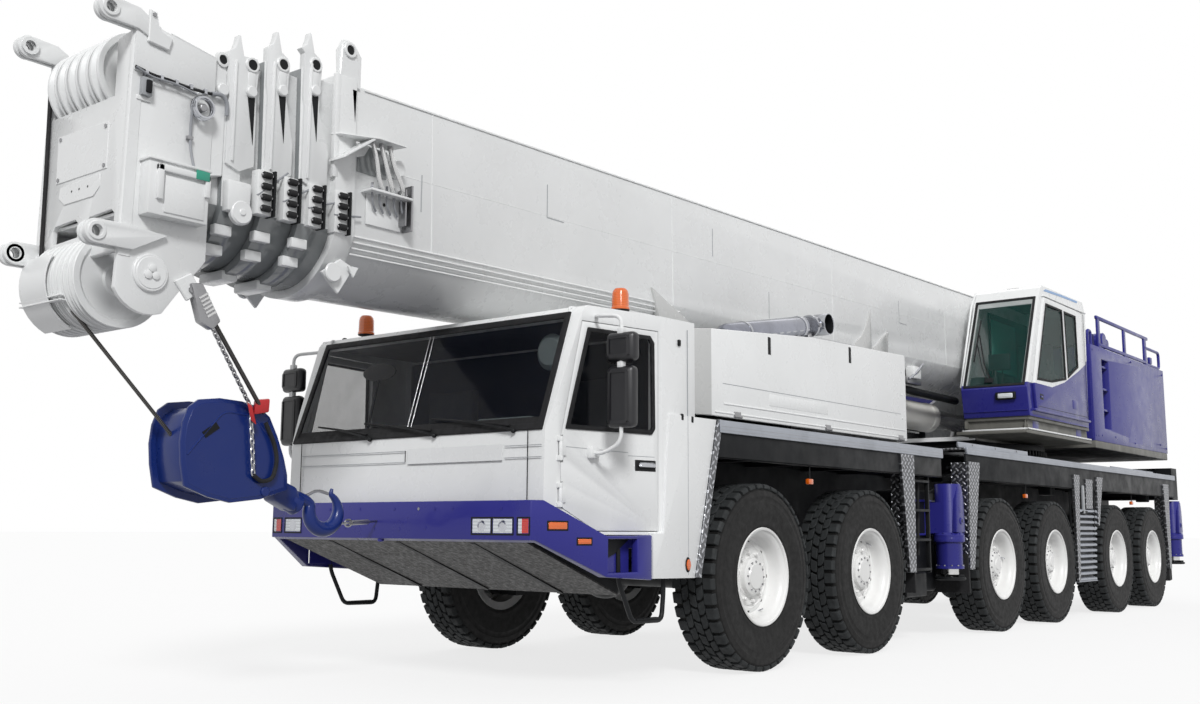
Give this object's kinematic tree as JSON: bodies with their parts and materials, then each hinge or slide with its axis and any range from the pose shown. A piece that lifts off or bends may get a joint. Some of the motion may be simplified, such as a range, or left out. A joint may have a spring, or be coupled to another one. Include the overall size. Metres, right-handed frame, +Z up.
{
  "type": "mobile crane",
  "caption": "All-terrain mobile crane: long wheeled carrier with low cab, slewing superstructure with crane cab, telescopic boom, hook block and outriggers.",
  "frame": {"origin": "on the ground, under the middle of the machine's overall length and width", "axes": "+X forwards towards the driver's cab and boom head, +Y to the driver's left, +Z up"},
  "size_m": [16.961, 3.4, 4.04],
  "materials": {
    "white_paint": "gloss",
    "blue_paint": "gloss",
    "hook_blue": "gloss",
    "black_paint": "satin",
    "deck_alu": "satin",
    "rubber_black": "matte",
    "chrome_steel": "polished",
    "rod_steel": "polished",
    "cab_trim": "matte",
    "dark_glass": "gloss",
    "green_glass": "gloss"
  },
  "bodies": {
    "carrier": {"chassis_frame": "black_paint", "outrigger_boxes": "black_paint", "deck_plates": "deck_alu", "engine_hood": "white_paint", "engine_block": "black_paint", "exhaust_silencer": "chrome_steel", "driver_cab": "white_paint", "cab_glass": "dark_glass", "cab_interior": "cab_trim", "front_bumper": "blue_paint", "front_shield": "black_paint", "access_steps": "black_paint", "mirrors": "black_paint", "axle_beams": "black_paint"},
    "superstructure": {"turntable": "black_paint", "side_housing": "blue_paint", "winch": "blue_paint", "crane_cab": "blue_paint", "crane_cab_glass": "green_glass", "crane_cab_seat": "cab_trim"},
    "crane_door": {"crane_cab_door": "blue_paint"},
    "boom": {"boom_base": "white_paint"},
    "section_1": {"boom_section_1": "white_paint"},
    "section_2": {"boom_section_2": "white_paint"},
    "section_3": {"boom_section_3": "white_paint"},
    "section_4": {"boom_section_4": "white_paint", "boom_head": "white_paint", "hook_block": "hook_blue"},
    "luff_barrel": {"luff_barrel": "white_paint"},
    "luff_rod": {"luff_rod": "rod_steel"},
    "door_left": {"cab_door_left": "white_paint"},
    "door_right": {"cab_door_right": "white_paint"},
    "wheel_1_left": {"wheel_1_left": "rubber_black"},
    "wheel_1_right": {"wheel_1_right": "rubber_black"},
    "wheel_2_left": {"wheel_2_left": "rubber_black"},
    "wheel_2_right": {"wheel_2_right": "rubber_black"},
    "wheel_3_left": {"wheel_3_left": "rubber_black"},
    "wheel_3_right": {"wheel_3_right": "rubber_black"},
    "wheel_4_left": {"wheel_4_left": "rubber_black"},
    "wheel_4_right": {"wheel_4_right": "rubber_black"},
    "wheel_5_left": {"wheel_5_left": "rubber_black"},
    "wheel_5_right": {"wheel_5_right": "rubber_black"},
    "wheel_6_left": {"wheel_6_left": "rubber_black"},
    "wheel_6_right": {"wheel_6_right": "rubber_black"},
    "knuckle_1_left": {"knuckle_1_left": "black_paint"},
    "knuckle_1_right": {"knuckle_1_right": "black_paint"},
    "knuckle_2_left": {"knuckle_2_left": "black_paint"},
    "knuckle_2_right": {"knuckle_2_right": "black_paint"},
    "knuckle_5_left": {"knuckle_5_left": "black_paint"},
    "knuckle_5_right": {"knuckle_5_right": "black_paint"},
    "knuckle_6_left": {"knuckle_6_left": "black_paint"},
    "knuckle_6_right": {"knuckle_6_right": "black_paint"},
    "outrigger_beam_front_left": {"outrigger_beam_front_left": "blue_paint"},
    "outrigger_beam_front_right": {"outrigger_beam_front_right": "blue_paint"},
    "outrigger_beam_rear_left": {"outrigger_beam_rear_left": "blue_paint"},
    "outrigger_beam_rear_right": {"outrigger_beam_rear_right": "blue_paint"},
    "outrigger_jack_front_left": {"outrigger_jack_front_left": "rod_steel"},
    "outrigger_jack_front_right": {"outrigger_jack_front_right": "rod_steel"},
    "outrigger_jack_rear_left": {"outrigger_jack_rear_left": "rod_steel"},
    "outrigger_jack_rear_right": {"outrigger_jack_rear_right": "rod_steel"}
  },
  "joints": [
    {"name": "slew", "type": "hinge", "parent": "carrier", "child": "superstructure", "pos_m": [-3.95, 0, 1.95], "axis": [0, 0, 1], "continuous": true},
    {"name": "luff", "type": "hinge", "parent": "superstructure", "child": "boom", "pos_m": [-6.35, 0, 3.35], "axis": [0, -1, 0], "range_deg": [0, 82]},
    {"name": "luff_cylinder_pin", "type": "hinge", "parent": "boom", "child": "luff_barrel", "pos_m": [0.85, 0, 2.4], "axis": [0, -1, 0], "range_deg": [0, 9.86]},
    {"name": "luff_cylinder_rod", "type": "slide", "parent": "luff_barrel", "child": "luff_rod", "axis": [-1, 0, 0], "range_m": [0, 2.952]},
    {"name": "telescope_1", "type": "slide", "parent": "boom", "child": "section_1", "axis": [0.9998, 0, -0.0175], "range_m": [0, 10.4]},
    {"name": "telescope_2", "type": "slide", "parent": "section_1", "child": "section_2", "axis": [0.9998, 0, -0.0175], "range_m": [0, 10.4]},
    {"name": "telescope_3", "type": "slide", "parent": "section_2", "child": "section_3", "axis": [0.9998, 0, -0.0175], "range_m": [0, 10.4]},
    {"name": "telescope_4", "type": "slide", "parent": "section_3", "child": "section_4", "axis": [0.9998, 0, -0.0175], "range_m": [0, 10.4]},
    {"name": "steer_1_left", "type": "hinge", "parent": "carrier", "child": "knuckle_1_left", "pos_m": [3.65, 1.08, 0.685], "axis": [0, 0, 1], "range_deg": [-32, 32]},
    {"name": "wheel_1_left_spin", "type": "hinge", "parent": "knuckle_1_left", "child": "wheel_1_left", "pos_m": [3.65, 1.3125, 0.685], "axis": [0, 1, 0], "continuous": true},
    {"name": "steer_1_right", "type": "hinge", "parent": "carrier", "child": "knuckle_1_right", "pos_m": [3.65, -1.08, 0.685], "axis": [0, 0, 1], "range_deg": [-32, 32]},
    {"name": "wheel_1_right_spin", "type": "hinge", "parent": "knuckle_1_right", "child": "wheel_1_right", "pos_m": [3.65, -1.3125, 0.685], "axis": [0, 1, 0], "continuous": true},
    {"name": "steer_2_left", "type": "hinge", "parent": "carrier", "child": "knuckle_2_left", "pos_m": [1.9, 1.08, 0.685], "axis": [0, 0, 1], "range_deg": [-24, 24]},
    {"name": "wheel_2_left_spin", "type": "hinge", "parent": "knuckle_2_left", "child": "wheel_2_left", "pos_m": [1.9, 1.3125, 0.685], "axis": [0, 1, 0], "continuous": true},
    {"name": "steer_2_right", "type": "hinge", "parent": "carrier", "child": "knuckle_2_right", "pos_m": [1.9, -1.08, 0.685], "axis": [0, 0, 1], "range_deg": [-24, 24]},
    {"name": "wheel_2_right_spin", "type": "hinge", "parent": "knuckle_2_right", "child": "wheel_2_right", "pos_m": [1.9, -1.3125, 0.685], "axis": [0, 1, 0], "continuous": true},
    {"name": "wheel_3_left_spin", "type": "hinge", "parent": "carrier", "child": "wheel_3_left", "pos_m": [-1.1, 1.3125, 0.685], "axis": [0, 1, 0], "continuous": true},
    {"name": "wheel_3_right_spin", "type": "hinge", "parent": "carrier", "child": "wheel_3_right", "pos_m": [-1.1, -1.3125, 0.685], "axis": [0, 1, 0], "continuous": true},
    {"name": "wheel_4_left_spin", "type": "hinge", "parent": "carrier", "child": "wheel_4_left", "pos_m": [-2.75, 1.3125, 0.685], "axis": [0, 1, 0], "continuous": true},
    {"name": "wheel_4_right_spin", "type": "hinge", "parent": "carrier", "child": "wheel_4_right", "pos_m": [-2.75, -1.3125, 0.685], "axis": [0, 1, 0], "continuous": true},
    {"name": "steer_5_left", "type": "hinge", "parent": "carrier", "child": "knuckle_5_left", "pos_m": [-5.1, 1.08, 0.685], "axis": [0, 0, 1], "range_deg": [-12.8, 12.8]},
    {"name": "wheel_5_left_spin", "type": "hinge", "parent": "knuckle_5_left", "child": "wheel_5_left", "pos_m": [-5.1, 1.3125, 0.685], "axis": [0, 1, 0], "continuous": true},
    {"name": "steer_5_right", "type": "hinge", "parent": "carrier", "child": "knuckle_5_right", "pos_m": [-5.1, -1.08, 0.685], "axis": [0, 0, 1], "range_deg": [-12.8, 12.8]},
    {"name": "wheel_5_right_spin", "type": "hinge", "parent": "knuckle_5_right", "child": "wheel_5_right", "pos_m": [-5.1, -1.3125, 0.685], "axis": [0, 1, 0], "continuous": true},
    {"name": "steer_6_left", "type": "hinge", "parent": "carrier", "child": "knuckle_6_left", "pos_m": [-6.75, 1.08, 0.685], "axis": [0, 0, 1], "range_deg": [-22.4, 22.4]},
    {"name": "wheel_6_left_spin", "type": "hinge", "parent": "knuckle_6_left", "child": "wheel_6_left", "pos_m": [-6.75, 1.3125, 0.685], "axis": [0, 1, 0], "continuous": true},
    {"name": "steer_6_right", "type": "hinge", "parent": "carrier", "child": "knuckle_6_right", "pos_m": [-6.75, -1.08, 0.685], "axis": [0, 0, 1], "range_deg": [-22.4, 22.4]},
    {"name": "wheel_6_right_spin", "type": "hinge", "parent": "knuckle_6_right", "child": "wheel_6_right", "pos_m": [-6.75, -1.3125, 0.685], "axis": [0, 1, 0], "continuous": true},
    {"name": "door_left_hinge", "type": "hinge", "parent": "carrier", "child": "door_left", "pos_m": [5.73269, 1.29559, 1.6], "axis": [0, 0, -1], "range_deg": [0, 70]},
    {"name": "door_right_hinge", "type": "hinge", "parent": "carrier", "child": "door_right", "pos_m": [5.73269, -1.29559, 1.6], "axis": [0, 0, 1], "range_deg": [0, 70]},
    {"name": "crane_door_slide", "type": "slide", "parent": "superstructure", "child": "crane_door", "axis": [-1, 0, 0], "range_m": [0, 0.9]},
    {"name": "outrigger_front_left_slide", "type": "slide", "parent": "carrier", "child": "outrigger_beam_front_left", "axis": [0, 1, 0], "range_m": [0, 1.9]},
    {"name": "jack_front_left_slide", "type": "slide", "parent": "outrigger_beam_front_left", "child": "outrigger_jack_front_left", "axis": [0, 0, -1], "range_m": [0, 0.62]},
    {"name": "outrigger_front_right_slide", "type": "slide", "parent": "carrier", "child": "outrigger_beam_front_right", "axis": [0, -1, 0], "range_m": [0, 1.9]},
    {"name": "jack_front_right_slide", "type": "slide", "parent": "outrigger_beam_front_right", "child": "outrigger_jack_front_right", "axis": [0, 0, -1], "range_m": [0, 0.62]},
    {"name": "outrigger_rear_left_slide", "type": "slide", "parent": "carrier", "child": "outrigger_beam_rear_left", "axis": [0, 1, 0], "range_m": [0, 1.9]},
    {"name": "jack_rear_left_slide", "type": "slide", "parent": "outrigger_beam_rear_left", "child": "outrigger_jack_rear_left", "axis": [0, 0, -1], "range_m": [0, 0.62]},
    {"name": "outrigger_rear_right_slide", "type": "slide", "parent": "carrier", "child": "outrigger_beam_rear_right", "axis": [0, -1, 0], "range_m": [0, 1.9]},
    {"name": "jack_rear_right_slide", "type": "slide", "parent": "outrigger_beam_rear_right", "child": "outrigger_jack_rear_right", "axis": [0, 0, -1], "range_m": [0, 0.62]}
  ],
  "couplings": [
    {"joint": "luff_cylinder_pin", "follows": "luff", "ratio": 0.12016},
    {"joint": "luff_cylinder_rod", "follows": "luff", "m_per_rad": 2.0626},
    {"joint": "telescope_2", "follows": "telescope_1", "ratio": 1},
    {"joint": "telescope_3", "follows": "telescope_1", "ratio": 1},
    {"joint": "telescope_4", "follows": "telescope_1", "ratio": 1},
    {"joint": "steer_1_right", "follows": "steer_1_left", "ratio": 1},
    {"joint": "steer_2_left", "follows": "steer_1_left", "ratio": 0.75},
    {"joint": "steer_2_right", "follows": "steer_1_left", "ratio": 0.75},
    {"joint": "steer_5_left", "follows": "steer_1_left", "ratio": -0.4},
    {"joint": "steer_5_right", "follows": "steer_1_left", "ratio": -0.4},
    {"joint": "steer_6_left", "follows": "steer_1_left", "ratio": -0.7},
    {"joint": "steer_6_right", "follows": "steer_1_left", "ratio": -0.7}
  ]
}
